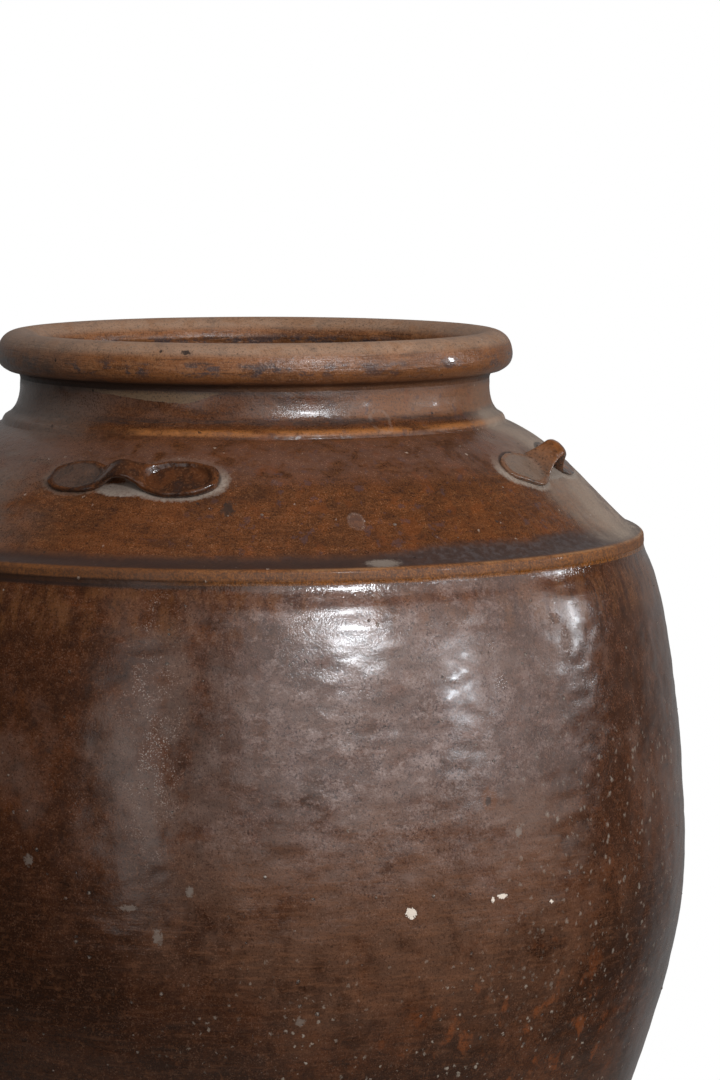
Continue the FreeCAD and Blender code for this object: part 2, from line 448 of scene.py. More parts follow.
def markLugs(piece):  # for the ash round the lugs: metres along the strap and down the shoulder
    seat, slope = lugSeat()
    marks = {"along": [], "down": [], "beside": []}
    for vertex in piece.data.vertices:
        x, y, z = vertex.co
        turns = {}
        for node, angle in lugAngles.items():
            turns[node] = (math.atan2(x, -y) / degree - angle + 180) % 360 - 180
        nearest = min(turns, key=lambda node: abs(turns[node]))
        station = turns[nearest] * degree * seat[0]
        drop = (seat[1] - z) / math.sin(slope) - strap["sag"]
        drop -= droopAt(nearest, station) * min(max(drop / (12 * mm), 0.0), 1.0)
        marks["along"].append(station)
        marks["down"].append(drop)
        marks["beside"].append(1.0 if abs(turns[nearest]) < lugReach else 0.0)
    for label, values in marks.items():
        markPoints(piece.data, label, values)


# The potter's hand: one rule moves every worked face, so that the sections still meet
clayHand = {
    "Inset": 1.0 * mm,
    "Dent Size": 52 * mm,
    "Dent Depth": 2.0 * mm,
    "Lump Size": 13 * mm,
    "Lump Depth": 1.0 * mm,
    "Ring Height": 9 * mm,
    "Ring Depth": 0.8 * mm,
    "Lean": 3.0 * mm,
    "Lean Foot": 0.5,
    "Lean Top": 0.6,
}
leanTowards = 111.7  # the rim sits a little to the right of the view's middle


def openTree(name, sizes):
    tree = bpy.data.node_groups.new(name, "GeometryNodeTree")
    tree.interface.new_socket(name="Geometry", in_out="INPUT", socket_type="NodeSocketGeometry")
    for label in sizes:
        tree.interface.new_socket(name=label, in_out="INPUT", socket_type="NodeSocketFloat")
    tree.interface.new_socket(name="Material", in_out="INPUT", socket_type="NodeSocketMaterial")
    tree.interface.new_socket(name="Geometry", in_out="OUTPUT", socket_type="NodeSocketGeometry")
    make = Maker(tree)
    given = make.node("NodeGroupInput")
    value = {label: Field(make, given.outputs[label]) for label in sizes}
    return tree, make, given, value


def closeTree(make, given, geometry):
    whole = make.node("GeometryNodeRealizeInstances", None, {0: geometry})
    inputs = {"Geometry": whole.outputs[0], "Material": given.outputs["Material"]}
    finished = make.node("GeometryNodeSetMaterial", None, inputs)
    make.node("NodeGroupOutput", None, {0: finished.outputs[0]})


def leaning(make, value, z):
    side = leanTowards * degree
    much = value["Lean"] * z.rise(value["Lean Foot"], value["Lean Top"])
    return make.join(much * math.sin(side), much * -math.cos(side), 0.0)


def carried(make, label):  # what each point of the mesh carries
    return make.field("GeometryNodeInputNamedAttribute", {"data_type": "FLOAT"}, {"Name": label}, "Attribute")


def shift(make, geometry, offset):
    return make.node("GeometryNodeSetPosition", None, {"Geometry": geometry, "Offset": offset}).outputs[0]


# Levels between which the marks of the coils and the paddle show, and how far patterns are drawn out
coiled = {"from": bellyLevel - 90 * mm, "full": bellyLevel + 60 * mm, "fades": wallTop - 60 * mm}
lumpStretch = (0.75, 1.4)  # across and up
ringStretch = (0.1, 1.0)


def clayTree():
    tree, make, given, value = openTree("workedClay", clayHand)
    place = make.field("GeometryNodeInputPosition")
    x, y, z = make.split(place)
    upper = z.rise(coiled["from"], coiled["full"]) * z.rise(wallTop, coiled["fades"])
    dents = make.noise(place, value["Dent Size"], 1.0, 0.4) - 0.5
    lumps = make.noise(make.stretch(place, *lumpStretch), value["Lump Size"], 1.0, 0.4) - 0.5
    rings = make.noise(make.stretch(place, *ringStretch), value["Ring Height"], 1.5, 0.5) - 0.5
    moved = dents * value["Dent Depth"] * upper.span(0.0, 1.0, 0.45, 1.0)
    moved = moved + lumps * value["Lump Depth"] * upper.span(0.0, 1.0, 0.3, 1.0)
    moved = moved + rings * value["Ring Depth"] * upper.span(0.0, 1.0, 1.0, 0.3)
    moved = (moved - value["Inset"]) * carried(make, "worked")
    outwards = make.vector("NORMALIZE", make.join(x, y, 0.0))
    push = make.field("ShaderNodeVectorMath", {"operation": "SCALE"}, {0: outwards, "Scale": moved})
    offset = make.vector("ADD", push, leaning(make, value, z))
    closeTree(make, given, shift(make, given.outputs["Geometry"], offset))
    return tree


def runTree(made, tree, values, material):
    modifier = made.modifiers.new("tree", "NODES")
    modifier.node_group = tree
    for item in tree.interface.items_tree:
        if item.in_out == "INPUT" and item.name in values:
            modifier[item.identifier] = values[item.name]
        if item.in_out == "INPUT" and item.name == "Material":
            modifier[item.identifier] = material
    graph = bpy.context.evaluated_depsgraph_get()
    plain = bpy.data.meshes.new_from_object(made.evaluated_get(graph))
    made.modifiers.clear()
    made.data = plain
    return made


# Strap lugs: a rolled bridge over a cord eye, between two pads that a thumb pressed into bowls
lugAngles = {}
for mount in frame["record"]["mounts"]:
    if mount["name"].startswith("cord_eye_"):
        eyeX, eyeY = mount["pos_m"][:2]
        lugAngles[mount["name"].replace("cord_eye", "lug")] = math.atan2(eyeX, -eyeY) / degree
strap = {
    "droop": {"lug_front": 0.0, "lug_right": 4.5 * mm, "lug_back": 1.0 * mm, "lug_left": 2.0 * mm},
    "lift": {"lug_front": 0.0, "lug_right": 3.4 * mm, "lug_back": 0.5 * mm, "lug_left": 0.8 * mm},
    "leftPress": {"lug_front": 1.0, "lug_right": 0.8, "lug_back": 0.9, "lug_left": 1.1},
    "rightPress": {"lug_front": 1.0, "lug_right": 0.05, "lug_back": 0.9, "lug_left": 0.8},
    "bridgeAt": -4 * mm,  # the strap was pinched a little to the left of its middle
    "placeShare": 0.4433,
    "sag": 2.5 * mm,  # how far the damp strap slid down the shoulder
    "bridgeWidth": 13.5 * mm,
    "bridgeThickness": 5.8 * mm,
    "eyeGap": 5.4 * mm,
    "eyeFrom": 1.0 * mm,
    "eyeTo": 17 * mm,
    "waist": 4 * mm,
    "fullWidthAt": 27 * mm,
    "padCentre": 31 * mm,
    "leftPad": {"end": 49, "inner": 19, "width": 24, "dish": 0.6},  # millimetres
    "rightPad": {"end": 54.5, "inner": 22.5, "width": 27.5, "dish": 0.1},
    "leftLip": {"uphill": 1.0, "downhill": 2.2, "tip": 1.4},
    "rightLip": {"uphill": 3.1, "downhill": 3.3, "tip": 4.1},
    "leftLipFrom": 0.76,  # shares of the way from a pad's middle to its edge
    "rightLipFrom": 0.7,
    "lipTo": 0.92,
    "squareness": 7,  # power of the curve that rounds the pads' edges
    "endCrowding": 0.35,  # how much closer the stations stand at the tips
    "edgeHeight": 0.5 * mm,
    "tipWidth": 4 * mm,
    "seatDepth": 5 * mm,
    "stations": 180,
    "topPoints": 40,
    "underPoints": 16,
}


def ease(value, low, high):
    share = min(max((value - low) / (high - low), 0.0), 1.0)
    return share * share * (3 - 2 * share)


def lugSeat():
    radius = shoulderTopRadius + strap["placeShare"] * (shoulderFootRadius - shoulderTopRadius)
    edge = bend((shoulderFootRadius, shoulderFoot), (shoulderTopRadius, neckLow), 0.5 * mm, *shoulderCurve)
    for first, second in zip(edge, edge[1:]):
        if first[0] >= radius > second[0]:
            slope = math.atan2(second[1] - first[1], first[0] - second[0])
            share = (first[0] - radius) / (first[0] - second[0])
            return (radius, first[1] + share * (second[1] - first[1])), slope


def droopAt(node, station):  # how much further the lower edge of the left pad slid
    middle = ease(station, -46 * mm, -30 * mm) * (1 - ease(station, -25 * mm, -11 * mm))
    return strap["droop"][node] * middle


def strapSection(station, seat, slope, node):
    away = abs(station - strap["bridgeAt"])
    side = "right" if station > strap["bridgeAt"] else "left"
    press = strap[side + "Press"][node]
    pad = {key: value * mm for key, value in strap[side + "Pad"].items()}
    for edge, value in strap[side + "Lip"].items():
        pad[edge] = value * mm * press
    lipFrom = strap[side + "LipFrom"]
    eyeGap = strap["eyeGap"] + strap["lift"][node]
    droop = droopAt(node, station)
    lifted = 1 - ease(away, strap["eyeFrom"], strap["eyeTo"])
    spread = ease(away, strap["waist"], strap["fullWidthAt"])
    tipShare = max(away - strap["padCentre"], 0.0) / (pad["end"] - strap["padCentre"])
    taper = math.sqrt(max(1 - tipShare ** 2, 0.0))
    fullWidth = strap["bridgeWidth"] + (pad["width"] - strap["bridgeWidth"]) * spread
    half = (strap["tipWidth"] + (fullWidth - strap["tipWidth"]) * taper) / 2
    along = tipShare if away > strap["padCentre"] else (strap["padCentre"] - away) / pad["inner"]
    sideLip = pad["tip"] if away > strap["padCentre"] else max(pad["tip"], pad["downhill"])
    low = strap["edgeHeight"] * min(press, 1.0)
    edge = low + (eyeGap + strap["bridgeThickness"] / 2 - low) * lifted
    bottom = -strap["seatDepth"] + (eyeGap + strap["seatDepth"]) * lifted
    outline = []
    lips = []
    count = strap["topPoints"]
    for step in range(count):
        u = -math.cos(math.pi * step / count)
        spot = min(abs(u) * half / (pad["width"] / 2), 1.0)
        rho = math.hypot(along, spot)
        edgeLip = pad["downhill"] if u > 0 else pad["uphill"]
        endwards = along * along / max(rho * rho, tiny)  # 1 towards the tip or the bridge
        lip = edgeLip + (sideLip - edgeLip) * endwards
        lipShare = ease(rho, lipFrom, strap["lipTo"])
        height = pad["dish"] + (lip - pad["dish"]) * lipShare
        rounded = math.sqrt(max(1 - max(abs(u), tipShare) ** strap["squareness"], 0.0))
        height = low + (height - low) * rounded
        bridge = eyeGap + strap["bridgeThickness"] * (0.5 + 0.5 * math.sqrt(max(1 - u * u, 0.0)))
        outline.append((u * half, height + (bridge - height) * lifted))
        lips.append(lipShare * (1 - lifted))
    under = edge + (bottom - edge) * 4 / 3
    poles = ((half, edge), (half, under), (-half, under), (-half, edge))
    for step in range(strap["underPoints"]):
        outline.append(curvePoint(poles, 0.5 - 0.5 * math.cos(math.pi * step / strap["underPoints"])))
        lips.append(1.0)
    turn = station / seat[0]
    points = []
    for down, out in outline:
        down += strap["sag"] + droop * max(down / half, 0.0)
        radius = seat[0] + down * math.cos(slope) + out * math.sin(slope)
        height = seat[1] - down * math.sin(slope) + out * math.cos(slope)
        points.append((radius * math.sin(turn), -radius * math.cos(turn), height))
    return points, lips


def strapMesh(name, node):
    seat, slope = lugSeat()
    count = strap["stations"]
    crowding = strap["endCrowding"]
    rows = []
    lips = []
    dull = []
    for index in range(count + 1):
        share = -math.cos(math.pi * index / count) * crowding + (2 * index / count - 1) * (1 - crowding)
        end = strap["rightPad" if share > 0 else "leftPad"]["end"] * mm
        station = strap["bridgeAt"] + share * end
        points, lipShares = strapSection(station, seat, slope, node)
        rows.append(points)
        lips.extend(lipShares)
        dull.extend([ease(-share * end, 4 * mm, 20 * mm)] * len(points))
    size = len(rows[0])
    vertices = [point for row in rows for point in row]
    faces = []
    for row in range(count):
        for column in range(size):
            beside = (column + 1) % size
            first = row * size
            faces.append((first + column, first + beside, first + size + beside, first + size + column))
    for row, order in ((0, -1), (count, 1)):
        middle = Vector([sum(point[k] for point in rows[row]) / size for k in range(3)])
        vertices.append(middle)
        lips.append(1.0)
        dull.append(dull[row * size])
        for column in range(size):
            pair = (row * size + column, row * size + (column + 1) % size)[::order]
            faces.append((*pair, len(vertices) - 1))
    return newPiece(name, vertices, faces, {"lip": lips, "dull": dull})


thumbPress = {
    "Angle": 0.0,
    "Seed": 0.0,
    "Press Size": 12 * mm,
    "Press Depth": 1.5 * mm,
    "Crease Size": 4 * mm,
    "Crease Depth": 0.5 * mm,
    **{label: clayHand[label] for label in ("Lean", "Lean Foot", "Lean Top")},
}


def lugTree():
    tree, make, given, value = openTree("pressedLug", thumbPress)
    place = make.field("GeometryNodeInputPosition")
    normal = make.field("GeometryNodeInputNormal")
    seeded = make.vector("ADD", place, make.join(value["Seed"], 0.0, 0.0))
    press = (make.noise(seeded, value["Press Size"], 1.0, 0.4) - 0.5) * value["Press Depth"]
    crease = (make.noise(seeded, value["Crease Size"], 2.0, 0.5) - 0.5) * value["Crease Depth"]
    push = make.field("ShaderNodeVectorMath", {"operation": "SCALE"}, {0: normal, "Scale": press + crease})
    pressed = shift(make, given.outputs["Geometry"], push)
    turn = make.join(0.0, 0.0, value["Angle"] * degree)
    turned = make.node("GeometryNodeTransform", None, {"Geometry": pressed, "Rotation": turn})
    z = make.split(make.field("GeometryNodeInputPosition"))[2]
    closeTree(make, given, shift(make, turned.outputs[0], leaning(make, value, z)))
    return tree


# Glazes. Angles are degrees round the jar from the front lug, levels are heights in metres,
# and the sizes of patterns and marks are millimetres
class Skin:  # a material that is built up layer by layer: colour, roughness and relief
    def __init__(self, name, colour, rough):
        self.material = bpy.data.materials.new(name)
        self.material.use_nodes = True
        self.material.node_tree.nodes.clear()
        self.make = Maker(self.material.node_tree)
        spots = self.make.node("ShaderNodeTexCoord")
        self.place = Field(self.make, spots.outputs["Object"])
        self.x, self.y, self.z = self.make.split(self.place)
        self.around = self.make.maths("ARCTAN2", self.x, -self.y) * (1 / degree)
        self.colour = (*colour, 1.0)
        self.rough = rough
        self.height = None  # relief in millimetres

    def noise(self, size, detail=3.0, roughness=0.5, across=1.0, up=1.0, distortion=0.0):
        place = self.place if across == up == 1.0 else self.make.stretch(self.place, across, up)
        return self.make.noise(place, size * mm, detail, roughness, distortion)

    def paint(self, share, colour, rough=None):
        self.colour = self.make.mix(share, self.colour, (*colour, 1.0))
        if rough is not None:
            self.rough = self.rough + (rough - self.rough) * share

    def layers(self, *rows, mask=None):  # a row: pattern, where it starts and is full, share, look
        for pattern, low, high, much, *look in rows:
            share = pattern.rise(low, high)
            self.paint((share if mask is None else mask * share) * much, *look)

    def relief(self, *rows):  # a row: pattern, and how far it stands out
        for pattern, much in rows:
            step = pattern * much
            self.height = step if self.height is None else self.height + step

    def turned(self, angle):  # degrees from an angle, the short way round
        return self.make.maths("WRAP", self.around - angle, 180.0, -180.0)

    def facing(self, angle, far, near):  # 1 round an angle, and 0 from so many degrees away
        return self.turned(angle).size().rise(far, near)

    def over(self, level, low, high):
        return self.z.rise(level + low * mm, level + high * mm)

    def band(self, level, low, high, soft):
        return self.z.between(level + low * mm, level + high * mm, soft * mm)

    def reach(self, angle, level, size, tall, radius):  # 1 at the edge of an oval
        arc = self.turned(angle) * (radius * degree / (size / 2 * mm))
        rise = (self.z - level) * (2 / (tall * mm))
        return self.make.maths("SQRT", arc * arc + rise * rise)

    def patch(self, angle, level, width, tall, ragged, soft, radius=bellyRadius):
        cloud = self.noise(max(min(width, tall) * 0.4, 1.2), 3.0, 0.6)
        away = self.reach(angle, level, width, tall, radius) + (cloud - 0.5) * (2 * ragged)
        return away.rise(1 + soft, 1 - soft)

    def halo(self, angle, level, size, radius):  # the thin ring of a blister that burst
        away = self.reach(angle, level, size, size, radius) + (self.noise(size / 3) - 0.5) * 0.5
        return (away - 1).size().rise(0.26, 0.06)

    def read(self, name):  # a share or a distance that the mesh carries
        return self.make.field("ShaderNodeAttribute", {"attribute_name": name}, None, "Fac")

    def dots(self, size, spacing, share, soft=0.25, up=1.0, ragged=1.2, ring=0.0):
        # ragged marks of up to a size; share says how many cells hold one
        inputs = {"Vector": self.place, "Scale": 1 / (size * 0.6 * mm), "Detail": 2.0, "Roughness": 0.6}
        cloud = self.make.field("ShaderNodeTexNoise", None, inputs, "Color")
        off = self.make.vector("SUBTRACT", cloud, (0.5, 0.5, 0.5))
        shaken = self.make.vector("MULTIPLY_ADD", off, (size * ragged * mm,) * 3, self.place)
        inputs = {"Vector": self.make.stretch(shaken, 1.0, up), "Scale": 1 / (spacing * mm)}
        cells = self.make.node("ShaderNodeTexVoronoi", {"feature": "F1"}, inputs)
        parts = self.make.node("ShaderNodeSeparateColor", None, {0: cells.outputs["Color"]})
        limit = Field(self.make, parts.outputs[0]).span(1 - share, 1.0, 0.0, size / spacing / 2)
        away = Field(self.make, cells.outputs["Distance"])
        if ring:
            width = ring / spacing
            edge = 1 - (limit - away - width).size() * (1 / width)
            return edge.most(0.0).least(limit * 1e6)
        inside = (limit - away) * (1 / (soft * size / spacing / 2))
        return inside.most(0.0).least(1.0)

    def finish(self, coat, coatRough):
        relief = {"Height": self.height, "Distance": 1 * mm, "Strength": 1.0}
        inputs = {
            "Base Color": self.colour,
            "Roughness": self.rough,
            "IOR": 1.5,
            "Coat Weight": coat,
            "Coat Roughness": coatRough,
            "Normal": self.make.field("ShaderNodeBump", None, relief),
        }
        shader = self.make.node("ShaderNodeBsdfPrincipled", None, inputs)
        self.make.node("ShaderNodeOutputMaterial", None, {"Surface": shader.outputs[0]})
        return self.material


def bodyGlaze(name):
    skin = Skin(name, (0.052, 0.0168, 0.0064), 0.21)
    z = skin.z
    lower = z.rise(0.37, 0.27)
    cloud = skin.noise(60, 4, 0.6, distortion=0.5)
    mottle = skin.noise(13, 5, 0.7, distortion=0.6)
    blotch = skin.noise(4.5, 4, 0.7, distortion=0.3)
    grain = skin.noise(1.6, 3, 0.7)
    fine = skin.noise(0.85, 1, 0.5)
    threads = skin.noise(2.6, 3, 0.6, across=0.13)
    runs = skin.noise(9, 3, 0.6, up=0.16)
    veil = skin.noise(26, 4, 0.62, up=0.8)
    speckled = skin.noise(8, 4, 0.72, across=0.6)
    ember = skin.patch(60, 0.225, 190, 110, 0.8, 0.6)
    glow = skin.noise(13, 3, 0.55, up=0.75)
    skin.layers(
        (cloud, 0.42, 0.62, lower.span(0, 1, 1, 0.6), (0.082, 0.026, 0.009)),
        (mottle, 0.5, 0.66, 0.6, (0.11, 0.033, 0.011)),
        (mottle, 0.48, 0.34, 0.65, (0.03, 0.0115, 0.0058)),
        (cloud, 0.6, 0.44, lower * 0.68, (0.026, 0.009, 0.0037)),
        # painted shade: the lower wall darker round the front lug, on the side turned from the lamps
        (skin.turned(0).size(), 30, 8, lower * 0.55, (0.025, 0.008, 0.0032)),
        (glow, 0.56, 0.66, ember * 0.85, (0.19, 0.048, 0.0105)),
        (runs, 0.4, 0.62, z.between(0.463, 0.489, 7 * mm) * 0.7, (0.14, 0.052, 0.017)),
        (threads, 0.54, 0.7, lower.span(0, 1, 0.2, 0.5), (0.105, 0.042, 0.02)),
        (threads, 0.46, 0.3, lower.span(0, 1, 0.15, 0.6), (0.024, 0.01, 0.0055)),
        (blotch, 0.53, 0.68, 0.55, (0.12, 0.045, 0.019), 0.26),
        (blotch, 0.46, 0.32, 0.6, (0.026, 0.0105, 0.0056), 0.17),
    )

    # Ash bloom and painted sheen: a pinkish grey skin on the upper body, partly ash and partly a painted
    # reflection of the lamps on the right, and a frosted run to its left
    bloomAndPaintedSheen = skin.patch(40, 0.425, 185, 160, 0.9, 0.6)
    skin.layers(
        (veil, 0.28, 0.62, 0.6, (0.2, 0.118, 0.096), 0.22),
        (mottle, 0.46, 0.6, 0.3, (0.12, 0.092, 0.096), 0.2),
        (skin.noise(11, 3, 0.6, across=0.7), 0.55, 0.66, 0.4, (0.15, 0.056, 0.03)),
        (speckled, 0.51, 0.6, 0.5, (0.245, 0.164, 0.14), 0.24),
        (speckled, 0.48, 0.39, 0.55, (0.07, 0.037, 0.028), 0.18),
        mask=bloomAndPaintedSheen,
    )
    skin.rough = skin.rough - bloomAndPaintedSheen * skin.patch(38, 0.455, 130, 60, 0.8, 0.6) * 0.04
    elsewhere = z.between(0.34, 0.475, 25 * mm) * cloud.rise(0.42, 0.62)
    greyed = skin.patch(40, 0.305, 260, 120, 0.7, 0.6)
    # a pale grey run left of the middle, partly a glaze drip and partly a painted reflection
    dripAndPaintedSheen = skin.patch(12, 0.4, 80, 140, 0.9, 0.8)
    gritty = 0.25 + mottle.rise(0.36, 0.62) * 0.6
    skin.layers(
        (veil, 0.35, 0.65, elsewhere * 0.42, (0.155, 0.098, 0.076), 0.28),
        (veil, 0.28, 0.56, greyed * 0.5, (0.165, 0.08, 0.047), 0.28),
        (threads, 0.5, 0.6, greyed * 0.3, (0.17, 0.07, 0.033), 0.26),
        (veil, 0.33, 0.58, dripAndPaintedSheen * 0.4, (0.135, 0.092, 0.074), 0.28),
        (grain, 0.55, 0.7, gritty * 0.6, (0.15, 0.074, 0.044), 0.32),
        (grain, 0.46, 0.32, 0.55, (0.02, 0.0086, 0.005), 0.18),
        (fine, 0.58, 0.74, gritty * 0.55, (0.2, 0.108, 0.067), 0.3),
        (fine, 0.42, 0.28, 0.5, (0.016, 0.007, 0.0042), 0.2),
    )
    frosted = skin.patch(9.5, 0.412, 26, 105, 1.1, 0.8)
    frost = skin.noise(0.85, 2, 0.6).rise(0.56, 0.66) * mottle.rise(0.44, 0.6)
    skin.paint(frosted * frost * 0.85, (0.37, 0.315, 0.275), 0.4)
    skin.paint(bloomAndPaintedSheen * frost * 0.35, (0.3, 0.235, 0.205), 0.3)
    skin.layers(
        (grain, 0.54, 0.62, speckled.rise(0.44, 0.6) * 0.5, (0.3, 0.215, 0.185), 0.26),
        (grain, 0.46, 0.4, mottle.rise(0.44, 0.58) * 0.6, (0.034, 0.019, 0.016), 0.2),
        mask=bloomAndPaintedSheen,
    )

    # Kiln marks: burst blisters, crystals, pits and the flaked places
    pits = skin.dots(2.6, 8, 0.5)
    crystals = skin.dots(2.3, 8, 0.45, soft=0.6)
    dusted = skin.facing(88, 44, 16) * z.between(0.24, 0.4, 40 * mm)
    flecks = skin.dots(4, 4.4, 0.9, soft=0.8, up=0.9, ragged=1) * dusted * mottle.rise(0.36, 0.54)
    peppered = skin.facing(50, 50, 20) * z.rise(0.31, 0.24)
    pepper = skin.dots(2.9, 4, 0.75, soft=0.5, ragged=1.3) * peppered * veil.rise(0.42, 0.56)
    blisters = skin.dots(8, 38, 0.45, ragged=0.25, ring=0.5) * blotch.rise(0.42, 0.56)
    skin.paint(pits * 0.8, (0.012, 0.0075, 0.0055), 0.5)
    skin.paint(crystals * 0.75, (0.29, 0.22, 0.17), 0.45)
    skin.paint(flecks * 0.85, (0.29, 0.24, 0.19), 0.5)
    skin.paint(pepper * 0.9, (0.34, 0.28, 0.22), 0.5)
    skin.paint(blisters * 0.45, (0.23, 0.185, 0.155), 0.4)
    skin.paint(skin.patch(52.5, 0.37, 10, 13, 0.8, 0.3) * 0.75, (0.125, 0.043, 0.015), 0.2)
    skin.paint(skin.patch(52.3, 0.369, 4, 5, 1, 0.3) * 0.8, (0.025, 0.011, 0.007))
    hem = skin.over(wallTop, -9, -5)
    glassy = skin.patch(47.9, 0.439, 9, 8, 1.2, 0.3)
    for angle, level, width, tall in (
        (54.5, 0.4535, 4, 9),
        (55.5, 0.434, 9, 10),
        (66.2, 0.466, 11, 6),
        (67.8, 0.453, 10, 18),
    ):
        glassy = glassy.most(skin.patch(angle, level, width, tall, 1.2, 0.3))
    skin.rough = skin.rough - hem * 0.08 - glassy * 0.12
    # painted shadow: a dark line under the ridge on the side turned from the lamps
    skin.paint(skin.over(wallTop, -3, -1) * skin.turned(0).rise(26, 2) * 0.8, (0.014, 0.0075, 0.006), 0.5)
    for angle, level, width, tall in (
        (41.5, 0.31, 5.6, 6.2),
        (54, 0.315, 6.4, 2.8),
        (52.6, 0.3135, 2.4, 2.8),
        (61.9, 0.308, 2.6, 2.2),
    ):
        flake = skin.patch(angle, level, width, tall, 1.3, 0.08)
        skin.paint(flake, (0.74, 0.62, 0.51), 0.75)
        skin.relief((flake, -0.45))
    for angle, level, width, tall in (
        (-6.5, 0.338, 5, 6),
        (14.3, 0.325, 4, 5),
        (6.7, 0.315, 10, 3),
        (10.3, 0.299, 5, 7),
        (27.7, 0.251, 5, 5),
        (56.7, 0.35, 4, 5),
    ):
        skin.paint(skin.patch(angle, level, width, tall, 1.3, 0.4) * 0.5, (0.24, 0.195, 0.16), 0.5)
    hammered = z.rise(0.48, 0.42) * 0.65 + 0.35
    skin.relief(
        (skin.noise(9, 1, 0.4, across=0.65) - 0.5, hammered * 0.5),
        (blotch - 0.5, 0.07),
        (grain - 0.5, 0.09),
        (fine - 0.5, 0.05),
        (threads - 0.5, lower.span(0, 1, 0.04, 0.2)),
        (skin.noise(1.9, 1, 0.5) - 0.5, glassy * 0.9),
        (speckled - 0.5, bloomAndPaintedSheen * 0.15),
        (skin.noise(3, 2, 0.6) - 0.5, hem * 0.25),
        (pits, -0.2),
        (crystals, 0.16),
        (blisters, 0.1),
        (flecks, 0.1),
        (pepper, 0.12),
    )
    return skin.finish(bloomAndPaintedSheen * 0.22 + glassy * 0.35 + 0.12, 0.1)


